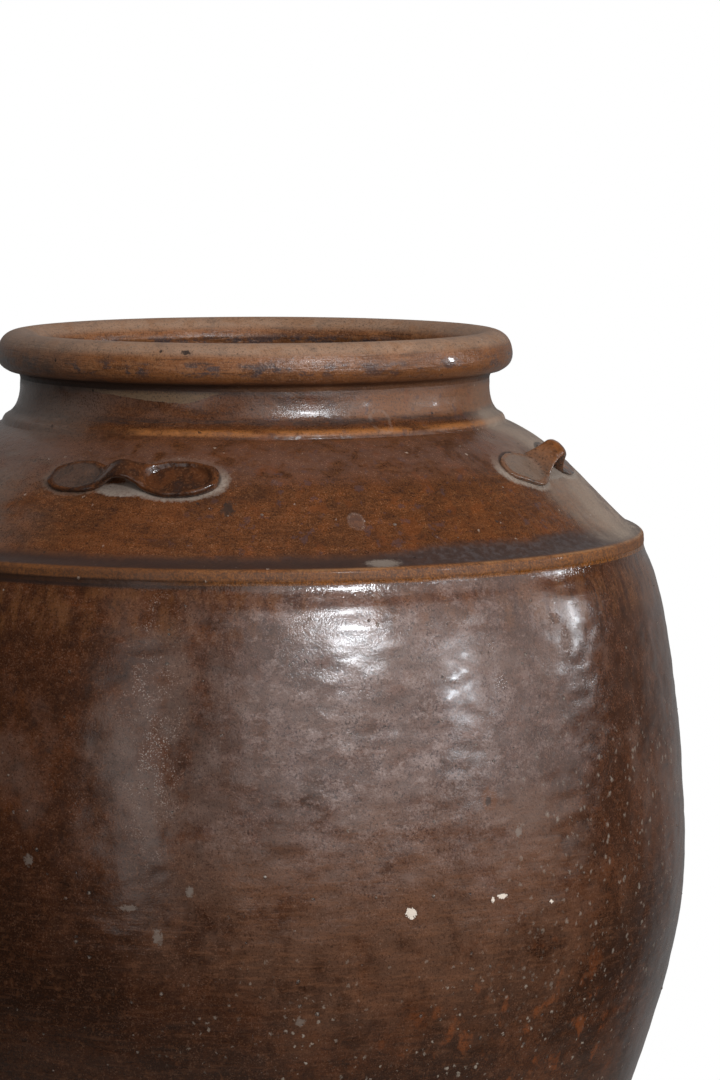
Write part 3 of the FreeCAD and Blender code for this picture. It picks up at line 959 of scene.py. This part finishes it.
def shoulderGlaze(name):
    skin = Skin(name, (0.076, 0.0255, 0.0088), 0.23)
    z = skin.z
    cloud = skin.noise(60, 4, 0.6, distortion=0.5)
    mottle = skin.noise(13, 5, 0.65, up=1.6, distortion=0.4)
    blotch = skin.noise(4, 4, 0.7, up=1.3)
    grain = skin.noise(1.2, 3, 0.65)
    fine = skin.noise(0.75, 1, 0.5)
    threads = skin.noise(2.6, 3, 0.6, across=0.09)
    veil = skin.noise(18, 4, 0.6, across=0.5)
    skin.layers(
        (cloud, 0.4, 0.62, 0.8, (0.11, 0.0335, 0.01)),
        (mottle, 0.5, 0.68, 0.6, (0.155, 0.046, 0.012)),
        (mottle, 0.48, 0.34, 0.6, (0.046, 0.018, 0.009)),
        (threads, 0.52, 0.7, 0.45, (0.145, 0.052, 0.018)),
        (threads, 0.46, 0.32, 0.45, (0.042, 0.018, 0.01)),
        (blotch, 0.53, 0.68, 0.5, (0.14, 0.056, 0.021), 0.28),
        (blotch, 0.46, 0.32, 0.55, (0.04, 0.016, 0.008), 0.2),
    )

    # Neck: a hazy skin above, tan below the rim, painted shade just under the rim, an orange line on the bead
    # and a dull line over it
    neck = skin.over(neckLow, 7, 13)
    skin.paint(neck * veil.rise(0.34, 0.62) * 0.6, (0.165, 0.082, 0.054), 0.16)
    sheltered = neck * skin.facing(84, 44, 30)
    skin.paint(sheltered * 0.8, (0.22, 0.084, 0.03))
    skin.rough = skin.rough + sheltered * 0.36
    tan = skin.band(neckTop, -15, -6, 3) * skin.facing(70, 52, 20)
    dull = skin.band(neckLow, 7, 11, 1.8)
    bead = skin.band(neckLow, 1.8, 5, 1)
    shaded = skin.facing(60, 20, 50)
    skin.layers(
        (veil, 0.34, 0.56, tan * 0.6, (0.17, 0.074, 0.03), 0.3),
        (threads, 0.38, 0.56, dull * 0.8, (0.034, 0.019, 0.015), 0.5),
        (veil, 0.36, 0.52, bead * skin.around.rise(-14, -5) * 0.88, (0.33, 0.118, 0.027), 0.45),
        (mottle, 0.5, 0.4, bead * 0.45, (0.11, 0.042, 0.015), 0.4),
    )
    # painted shade: the neck darker just under the rim, most on the side turned from the lamps
    skin.paint(skin.over(neckTop, -4, -0.5) * shaded.span(0, 1, 0.35, 0.85), (0.022, 0.013, 0.01), 0.5)

    # Dry wedge below the rim, where the glaze missed the clay
    arc = skin.turned(0)
    fall = arc.rise(-24, 6) * arc.rise(15, 6)
    edge = neckTop - 1.5 * mm - fall * (5.5 * mm) + (skin.noise(3) - 0.5) * (2 * mm)
    wedge = ((z - edge) * 2500).most(0).least(1) * arc.rise(-23, -20) * arc.rise(15.5, 13.5)
    skin.paint(wedge * skin.over(neckTop, 1, -3) * 0.88, (0.185, 0.115, 0.062), 0.62)
    # a pale grey skin on the shoulder's left edge, partly dust and partly a painted reflection
    dustAndPaintedSheen = skin.facing(-48, 42, 14)
    gritty = 0.35 + mottle.rise(0.36, 0.62) * 0.65
    plum = skin.band(neckLow, -20, -1, 7)
    rightwards = skin.around.rise(-5, 30)
    skin.layers(
        (veil, 0.25, 0.6, dustAndPaintedSheen * 0.78, (0.16, 0.12, 0.098), 0.5),
        (grain, 0.54, 0.68, gritty * 0.42, (0.17, 0.066, 0.023), 0.32),
        (grain, 0.47, 0.36, 0.5, (0.024, 0.01, 0.0056), 0.2),
        (fine, 0.57, 0.7, gritty * 0.5, (0.21, 0.088, 0.033), 0.32),
        (fine, 0.44, 0.32, 0.5, (0.017, 0.0076, 0.0046), 0.22),
        (skin.noise(15, 3, 0.6), 0.57, 0.65, rightwards * 0.3, (0.16, 0.042, 0.01)),
        (skin.noise(7, 3, 0.6), 0.6, 0.67, rightwards * 0.5, (0.062, 0.036, 0.036)),
        (mottle, 0.32, 0.58, plum * 0.55, (0.098, 0.053, 0.04), 0.28),
    )

    # Cordon: an orange nose with a pale line on its crest that is a painted highlight, and settled ash in the
    # groove behind it
    nose = skin.over(wallTop, 9.4, 8.2)
    skin.paint(nose * (veil.rise(0.36, 0.6) * 0.45 + 0.5), (0.215, 0.068, 0.008))
    skin.layers(
        (fine, 0.55, 0.64, skin.around.rise(-5, 20) * 0.35, (0.34, 0.15, 0.045), 0.35),
        (skin.noise(2.2, 3, 0.6, up=0.3), 0.48, 0.36, 0.6, (0.06, 0.022, 0.007)),
        # painted shade: the nose darker on the side turned from the lamps
        (skin.turned(0), 30, 0, 0.5, (0.07, 0.025, 0.008)),
        (grain, 0.52, 0.42, 0.65, (0.055, 0.02, 0.007)),
        mask=nose,
    )
    skin.rough = skin.rough + nose * skin.over(wallTop, 1.8, 2.8) * 0.42
    # painted shadow: a dark line under the ridge nose on the side turned from the lamps
    ridgeShadow = skin.over(wallTop, 3.6, 2.2) * skin.turned(0).rise(26, 2)
    skin.paint(ridgeShadow * 0.8, (0.018, 0.009, 0.007), 0.4)
    # painted highlight: a pale line along the crest on the lit side
    crest = skin.band(wallTop, 8, 8.8, 0.6) * veil.rise(0.34, 0.54)
    skin.paint(crest * skin.around.rise(10, 34) * 0.55, (0.26, 0.145, 0.07), 0.5)
    wide = skin.facing(66, 30, 14)
    reach = (z - wallTop) * 1000 - wide * 3.2 - (veil - 0.5) * 5
    groove = skin.over(wallTop, 8.4, 9.6) * reach.rise(17.5, 11.5)
    skin.paint(groove * 0.85, (0.03, 0.018, 0.015), 0.45)
    skin.paint(groove * wide * (blotch.rise(0.44, 0.62) * 0.45 + 0.05), (0.072, 0.058, 0.057), 0.5)
    # a pale skin on the shoulder's right edge, partly ash and partly a painted reflection
    ashAndPaintedSheen = (skin.turned(112).size() + (cloud - 0.5) * 34).rise(34, 16)
    ashAndPaintedSheen = ashAndPaintedSheen * skin.over(wallTop, 7, 11) * (1 - neck * 0.8)
    holes = 1 - mottle.rise(0.54, 0.44) * skin.facing(125, 30, 18) * 0.6
    skin.paint(ashAndPaintedSheen * holes * (grain.rise(0.35, 0.65) * 0.25 + 0.58), (0.3, 0.225, 0.168), 0.55)
    smear = skin.patch(40.3, wallTop + 10.6 * mm, 19, 3.4, 0.8, 0.4, cordonRadius)
    skin.paint(smear * 0.75, (0.185, 0.145, 0.115), 0.6)

    # Ash that gathered round the lugs, ragged, and widest below them
    seat = lugSeat()[0]
    along = skin.read("along")
    down = skin.read("down")
    near = skin.band(seat[1], -26, 20, 2) * skin.read("beside")
    ragged = (skin.noise(3, 4, 0.75) - 0.5) * (6.5 * mm)
    weak = 1 - skin.around.size().rise(42, 28) * 0.7
    below = down.rise(-12 * mm, 4 * mm) * 0.86 + 0.14
    dusty = grain.rise(0.34, 0.58) * 0.45 + 0.55
    for side, much in (("leftPad", weak), ("rightPad", 1)):
        pad = strap[side]
        half = pad["width"] / 2 * mm
        middle = strap["bridgeAt"] + strap["padCentre"] * (1 if side == "rightPad" else -1)
        arc = (along - middle) * (half / (pad["end"] * mm - strap["padCentre"] - 0.5 * mm))
        away = skin.make.maths("SQRT", arc * arc + down * down) - half
        fringe = (away + ragged - skin.around.rise(50, 65) * 1.5 * mm).rise(5.4 * mm, 2.2 * mm) * near * below
        patchy = blotch.rise(0.28, 0.48) * 0.4 + 0.6
        skin.paint(fringe * much * dusty * patchy * 0.88, (0.265, 0.212, 0.17), 0.6)
        # painted shade: a dark line where the strap meets the shoulder
        skin.paint(away.rise(1.6 * mm, 0.6 * mm) * near * 0.7, (0.018, 0.011, 0.009), 0.4)
    arc = (along + 2 * mm) * (1 / 3)
    under = skin.make.maths("SQRT", arc * arc + (down - 9.5 * mm) ** 2) + ragged * 0.6
    skin.paint(under.rise(6.2 * mm, 4.6 * mm) * near * dusty * 0.9, (0.25, 0.2, 0.162), 0.65)
    skin.paint(skin.patch(18.1, 0.531, 6, 7.5, 1.2, 0.3, seat[0]) * 0.8, (0.022, 0.015, 0.012), 0.4)

    rings = skin.halo(52.6, 0.5745, 12, neckRadius).most(skin.halo(38.3, 0.5235, 8, seat[0]))
    pits = skin.dots(2.2, 9, 0.4)
    crystals = skin.dots(2.4, 8, 0.5, soft=0.5)
    skin.paint(rings * blotch.rise(0.38, 0.54) * 0.2, (0.25, 0.19, 0.155), 0.4)
    skin.paint(skin.patch(38.3, 0.5235, 8, 8, 0.4, 0.2, seat[0]) * 0.3, (0.15, 0.09, 0.072), 0.3)
    skin.paint(pits * 0.75, (0.018, 0.0105, 0.008), 0.5)
    skin.paint(crystals * 0.75, (0.34, 0.26, 0.205), 0.45)
    skin.relief(
        (skin.noise(6, 1.5, 0.45) - 0.5, 0.46 - neck * 0.22),
        (blotch - 0.5, 0.14),
        (threads - 0.5, 0.18 - neck * 0.08),
        (grain - 0.5, 0.1),
        (fine - 0.5, 0.04),
        (pits, -0.18),
        (crystals, 0.14),
        (rings, 0.1),
    )
    return skin.finish(0.12, 0.12)


def rimGlaze(name):
    skin = Skin(name, (0.13, 0.045, 0.014), 0.36)
    cloud = skin.noise(38, 4, 0.6, up=1.5, distortion=0.5)
    mottle = skin.noise(8, 5, 0.65, across=0.5, distortion=0.3)
    grain = skin.noise(1.4, 3, 0.7)
    fine = skin.noise(0.8, 1, 0.5)
    threads = skin.noise(1.8, 3, 0.6, across=0.08)
    smudge = skin.noise(9, 5, 0.7, across=0.5)
    # the rim's top lighter, partly wear and partly painted light from above
    wornAndPaintedTopLight = skin.over(jarTop, -9, -4)
    skin.layers(
        (cloud, 0.38, 0.6, 0.8, (0.23, 0.08, 0.023)),
        (mottle, 0.5, 0.66, 0.6, (0.27, 0.112, 0.043), 0.36),
        (mottle, 0.46, 0.32, 0.6, (0.056, 0.026, 0.016)),
        (threads, 0.52, 0.68, 0.55, (0.2, 0.082, 0.033), 0.34),
        (threads, 0.46, 0.32, 0.65, (0.042, 0.019, 0.0115), 0.24),
    )
    skin.paint(wornAndPaintedTopLight * (0.45 + cloud * 0.5), (0.285, 0.185, 0.125), 0.6)
    skin.layers(
        (mottle, 0.51, 0.61, wornAndPaintedTopLight * 0.5, (0.21, 0.095, 0.042)),
        (mottle, 0.46, 0.36, wornAndPaintedTopLight * 0.4, (0.13, 0.078, 0.054)),
        (smudge, 0.5, 0.58, skin.band(neckTop, 9, 17, 2.5) * 0.8, (0.042, 0.036, 0.041), 0.26),
        (grain, 0.54, 0.7, 0.55, (0.24, 0.12, 0.06), 0.42),
        (grain, 0.46, 0.32, 0.6, (0.038, 0.019, 0.012), 0.34),
        (fine, 0.57, 0.72, 0.5, (0.27, 0.135, 0.068), 0.4),
        (fine, 0.43, 0.28, 0.5, (0.03, 0.014, 0.009), 0.3),
    )
    # a pale grey skin on the rim's left edge, partly dust and partly a painted reflection
    skin.paint(skin.facing(-48, 40, 14) * 0.42, (0.14, 0.1, 0.078), 0.55)
    ruddy = skin.facing(72, 48, 20) * skin.over(jarTop, -6, -12)
    skin.paint(ruddy * cloud * 0.55, (0.14, 0.046, 0.01))
    shaded = skin.facing(60, 20, 55)
    # painted shade: the rim's underside darker, most on the side turned from the lamps
    under = skin.over(neckTop, 6.5, 3.5) * shaded.span(0, 1, 0.45, 0.88)
    skin.paint(under, (0.022, 0.0135, 0.0105), 0.55)
    nicks = skin.patch(7.7, 0.615, 5.5, 2.4, 1.1, 0.2, rimRadius)
    nicks = nicks.most(skin.patch(2, 0.6155, 1.8, 1.6, 0.5, 0.2, rimRadius))
    pits = skin.dots(2.4, 11, 0.4).most(nicks)
    skin.paint(pits * 0.85, (0.02, 0.0125, 0.01), 0.5)
    crystals = skin.dots(1.8, 8, 0.35)
    skin.paint(crystals * 0.7, (0.34, 0.27, 0.215), 0.45)
    skin.relief(
        (skin.noise(4.5, 2, 0.5) - 0.5, 0.46),
        (threads - 0.5, 0.4),
        (grain - 0.5, 0.16),
        (fine - 0.5, 0.05),
        (pits, -0.3),
        (crystals, 0.1),
    )
    glassy = skin.patch(71.4, 0.6075, 16, 6, 1.2, 0.4, rimRadius)
    return skin.finish(glassy * 0.45 + 0.03, 0.08)


def lugGlaze(name):
    skin = Skin(name, (0.04, 0.015, 0.0072), 0.15)
    cloud = skin.noise(14, 4, 0.6)
    grain = skin.noise(1.5, 3, 0.7)
    lip = skin.read("lip")
    dull = skin.read("dull")
    warm = skin.around.size().rise(40, 70)
    skin.layers(
        (cloud, 0.44, 0.6, 0.8, (0.08, 0.025, 0.008)),
        (cloud, 0.46, 0.34, 0.7, (0.024, 0.015, 0.013)),
        (cloud, 0.3, 0.6, warm * 0.8, (0.2, 0.07, 0.02), 0.26),
        (cloud, 0.34, 0.54, lip.rise(0.5, 1) * 0.65, (0.12, 0.04, 0.013), 0.16),
        (grain, 0.5, 0.4, lip * 0.5, (0.02, 0.01, 0.007)),
    )
    skin.paint(dull * (1 - lip) * (0.35 + cloud * 0.5), (0.078, 0.054, 0.043), 0.36)
    skin.paint(dull * warm * (1 - lip * 0.5) * (0.1 + grain * 0.8), (0.19, 0.14, 0.105), 0.5)
    skin.layers(
        (grain, 0.54, 0.7, 0.45, (0.17, 0.08, 0.038), 0.24),
        (grain, 0.45, 0.3, 0.6, (0.018, 0.009, 0.006), 0.14),
    )
    skin.relief((skin.noise(3.5, 2, 0.5) - 0.5, 0.45), (grain - 0.5, 0.12))
    return skin.finish(0.3, 0.07)


def bareFoot(name):
    skin = Skin(name, (0.12, 0.062, 0.04), 0.78)
    cloud = skin.noise(30, 4, 0.6)
    grain = skin.noise(1.6, 4, 0.7)
    skin.layers(
        (cloud, 0.4, 0.62, 0.8, (0.165, 0.088, 0.056)),
        (cloud, 0.46, 0.3, 0.6, (0.06, 0.034, 0.026)),
        (grain, 0.52, 0.72, 0.5, (0.26, 0.17, 0.12)),
        (grain, 0.48, 0.3, 0.5, (0.05, 0.028, 0.02)),
    )
    skin.relief((grain - 0.5, 0.6), (skin.noise(5) - 0.5, 0.5))
    return skin.finish(0, 0.3)


def gritGlaze(name):
    skin = Skin(name, (0.13, 0.088, 0.064), 0.35)
    each = skin.noise(6, 2)
    skin.paint(each.rise(0.4, 0.6), (0.07, 0.034, 0.02))
    skin.paint(each.rise(0.58, 0.68), (0.27, 0.22, 0.185))
    skin.relief((skin.noise(1) - 0.5, 0.2))
    return skin.finish(0.4, 0.12)


body = bodyGlaze("brownBodyGlaze")
shoulderSkin = shoulderGlaze("shoulderGlaze")
finishes = {
    "bare_foot": bareFoot("bareFootClay"),
    "lower_glaze": body,
    "body_glaze": body,
    "cordon_glaze": shoulderSkin,
    "shoulder_glaze": shoulderSkin,
    "neck_glaze": shoulderSkin,
    "rim_glaze": rimGlaze("rimGlaze"),
    "lug_glaze": lugGlaze("lugGlaze"),
}
slotOf = {row["node"]: row["material_slot"] for row in frame["record"]["subparts"]}
print("stage: glazes mixed")


def seatPiece(piece, *nodes):
    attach(piece, "root")
    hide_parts(*nodes)
    print("stage:", piece.name, len(piece.data.polygons), "faces")


workedClay = clayTree()
sections = {
    "jarBase": ("base_slab", baseOutline, (1, 3)),
    "jarLowerWall": ("lower_wall", lowerOutline, (0, 1, 2, 3)),
    "jarUpperWall": ("upper_wall", upperOutline, (0, 2, 3, 4)),
    "jarCordon": ("shoulder_cordon", cordonOutline, (0, 5, 6, 7)),
    "jarShoulder": ("shoulder", shoulderOutline, (0, 1, 2, 3, 4, 5)),
    "jarNeck": ("neck_collar", neckOutline, (0, 3, 4, 5)),
    "jarRim": ("rolled_rim", rimOutline, (0, 5)),
}
walls = {}
for pieceName, (node, outline, sharpCorners) in sections.items():
    piece = turnMesh(pieceName, outline(), sharpCorners)
    if node == "shoulder":
        markLugs(piece)
    runTree(piece, workedClay, clayHand, finishes[slotOf[node]])
    walls[pieceName] = piece
    seatPiece(piece, node)

pressedLug = lugTree()
for order, (node, angle) in enumerate(lugAngles.items()):
    piece = strapMesh("strap" + node.split("_")[1].capitalize(), node)
    values = {**thumbPress, "Angle": angle, "Seed": 0.37 * order}
    runTree(piece, pressedLug, values, finishes[slotOf[node]])
    seatPiece(piece, node)

# Kiln grit: grains that fell on the wet glaze and stand a little proud of it
grit = {
    "Density": 900.0,
    "Smallest": 0.35 * mm,
    "Largest": 1.25 * mm,
    "Flatness": 0.55,
}
gritSeeds = {"places": 7, "sizes": 11}


def gritTree():
    tree, make, given, value = openTree("kilnGrit", grit)
    place = make.field("GeometryNodeInputPosition")
    crowded = make.noise(place, 80 * mm, 3.0, 0.6).rise(0.42, 0.7)
    thick = value["Density"] * carried(make, "worked") * (0.15 + crowded)
    inputs = {"Mesh": given.outputs["Geometry"], "Density": thick, "Seed": gritSeeds["places"]}
    spread = make.node("GeometryNodeDistributePointsOnFaces", {"distribute_method": "RANDOM"}, inputs)
    grain = make.node("GeometryNodeMeshIcoSphere", None, {"Radius": 1.0, "Subdivisions": 2})
    bare = make.node("GeometryNodeSetShadeSmooth", None, {"Geometry": grain.outputs[0], "Shade Smooth": True})
    inputs = {"Min_001": 0.0, "Max_001": 1.0, "Seed": gritSeeds["sizes"]}
    luck = make.field("FunctionNodeRandomValue", {"data_type": "FLOAT"}, inputs, "Value_001")
    size = value["Smallest"] + (value["Largest"] - value["Smallest"]) * luck ** 3.0
    scale = make.join(size, size * 0.85, size * value["Flatness"])
    inputs = {
        "Points": spread.outputs["Points"],
        "Instance": bare.outputs[0],
        "Rotation": spread.outputs["Rotation"],
        "Scale": scale,
    }
    placed = make.node("GeometryNodeInstanceOnPoints", None, inputs)
    closeTree(make, given, placed.outputs[0])
    return tree


kilnGrit = gritTree()
gritFinish = gritGlaze("kilnGrit")
for wallName in ("jarLowerWall", "jarUpperWall", "jarShoulder"):
    grains = bpy.data.objects.new(wallName.replace("jar", "grit"), walls[wallName].data.copy())
    bpy.context.scene.collection.objects.link(grains)
    runTree(grains, kilnGrit, grit, gritFinish)
    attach(grains, "root")
    print("stage:", grains.name, len(grains.data.polygons), "faces")

# Floor: pale, and gone before it reaches the picture
floor = {
    "radius": 0.7,
    "fadeFrom": 0.42,
    "fadeTo": 0.68,
    "colour": (0.8, 0.8, 0.79, 1.0),
    "bounce": (0.2, 0.18, 0.16, 1.0),  # what the jar sees of it
}


def setFloor(look):
    bpy.ops.mesh.primitive_circle_add(vertices=128, radius=look["radius"], fill_type="NGON")
    disc = bpy.context.object
    disc.name = "floor"
    skin = Skin("paleFloor", look["colour"][:3], 0.7)
    make = skin.make
    reach = make.maths("SQRT", skin.x * skin.x + skin.y * skin.y)
    faded = reach.rise(look["fadeFrom"], look["fadeTo"])
    path = make.node("ShaderNodeLightPath")
    tone = make.mix(path.outputs["Is Camera Ray"], look["bounce"], look["colour"])
    plain = make.node("ShaderNodeBsdfDiffuse", None, {"Color": tone})
    clear = make.node("ShaderNodeBsdfTransparent")
    shader = make.node("ShaderNodeMixShader", None, {0: faded, 1: plain.outputs[0], 2: clear.outputs[0]})
    make.node("ShaderNodeOutputMaterial", None, {"Surface": shader.outputs[0]})
    disc.data.materials.append(skin.material)


setFloor(floor)

# Light: one wide soft window on the right, small bright panes in it, and a white backdrop behind
# azimuths are degrees to the right of the camera, elevations degrees above the middle of the jar
lamps = {  # azimuth, elevation, width, tall, away, power, cool
    "windowFront": (22, 16, 2.3, 1.65, 2.3, 12.8, 0.0),
    "windowRight": (70, 13, 1.6, 1.65, 2.3, 7.6, 0.0),
    "skyNear": (29, 20, 0.62, 0.42, 2.25, 2.6, 0.4),
    "skyMiddle": (57, 10, 0.5, 0.5, 2.25, 1.1, 0.4),
    "skySide": (93, 10, 0.34, 0.7, 2.25, 1.1, 0.4),
    "paneNear": (26, 22, 0.25, 0.14, 2.2, 16.5, 0.7),
    "paneMiddle": (55, 9, 0.1, 0.1, 2.2, 2.0, 1.0),
    "paneSide": (95, 12, 0.08, 0.22, 2.2, 4.2, 0.7),
    "paneLeft": (-28, 4, 0.5, 1.2, 2.4, 2.2, 0.0),
    "ceiling": (0, 72, 2.0, 2.0, 2.0, 24, 0.0),
}
lampAim = 0.42
skyTint = (0.16, 0.08, 0.0)  # how much of each colour a lamp with cool 1 goes without


def hangLamp(name, azimuth, elevation, width, tall, away, power, cool):
    lamp = bpy.data.lights.new(name, "AREA")
    lamp.shape = "RECTANGLE"
    lamp.size = width
    lamp.size_y = tall
    lamp.energy = power
    lamp.color = [1 - part * cool for part in skyTint]
    made = bpy.data.objects.new(name, lamp)
    turn = (camera["azimuth"] + azimuth) * degree
    rise = elevation * degree
    flat = away * math.cos(rise)
    target = Vector((0, 0, lampAim))
    made.location = target + Vector((flat * math.sin(turn), -flat * math.cos(turn), away * math.sin(rise)))
    made.rotation_euler = (target - made.location).to_track_quat("-Z", "Y").to_euler()
    made.visible_glossy = name != "ceiling"  # the ceiling lights the jar but isn't mirrored in it
    bpy.context.scene.collection.objects.link(made)


backdrop = {
    "ambient": 0.24,  # the light that the jar gets from above and from below
    "below": 0.08,
    "horizon": (-0.35, 0.25),
    "tint": (0.93, 0.96, 1.0, 1.0),
    "front": 0.02,  # what the glaze mirrors, before the jar and behind it
    "behind": 0.25,
    "turn": (0.4, 0.95),
}


def setWorld(look):
    world = bpy.data.worlds.new("studio")
    bpy.context.scene.world = world
    world.use_nodes = True
    world.node_tree.nodes.clear()
    make = Maker(world.node_tree)
    path = make.node("ShaderNodeLightPath")
    seen = Field(make, path.outputs["Is Camera Ray"]).most(Field(make, path.outputs["Is Transmission Ray"]))
    glossy = Field(make, path.outputs["Is Glossy Ray"])
    spots = make.node("ShaderNodeTexCoord")
    x, y, z = make.split(Field(make, spots.outputs["Generated"]))
    turn = camera["azimuth"] * degree
    behind = (x * -math.sin(turn) + y * math.cos(turn)).rise(*look["turn"])
    mirrored = look["front"] + behind * (look["behind"] - look["front"])
    soft = z.rise(*look["horizon"]) * (look["ambient"] - look["below"]) + look["below"]
    strength = glossy * mirrored + (1 - glossy) * soft
    strength = seen + (1 - seen) * strength
    tone = make.mix(seen.most(glossy), look["tint"], (1.0, 1.0, 1.0, 1.0))
    sky = make.node("ShaderNodeBackground", None, {"Color": tone, "Strength": strength})
    make.node("ShaderNodeOutputWorld", None, {"Surface": sky.outputs[0]})


setWorld(backdrop)
for name, look in lamps.items():
    hangLamp(name, *look)
bpy.context.scene.view_settings.view_transform = "Standard"
print("stage: lights hung")
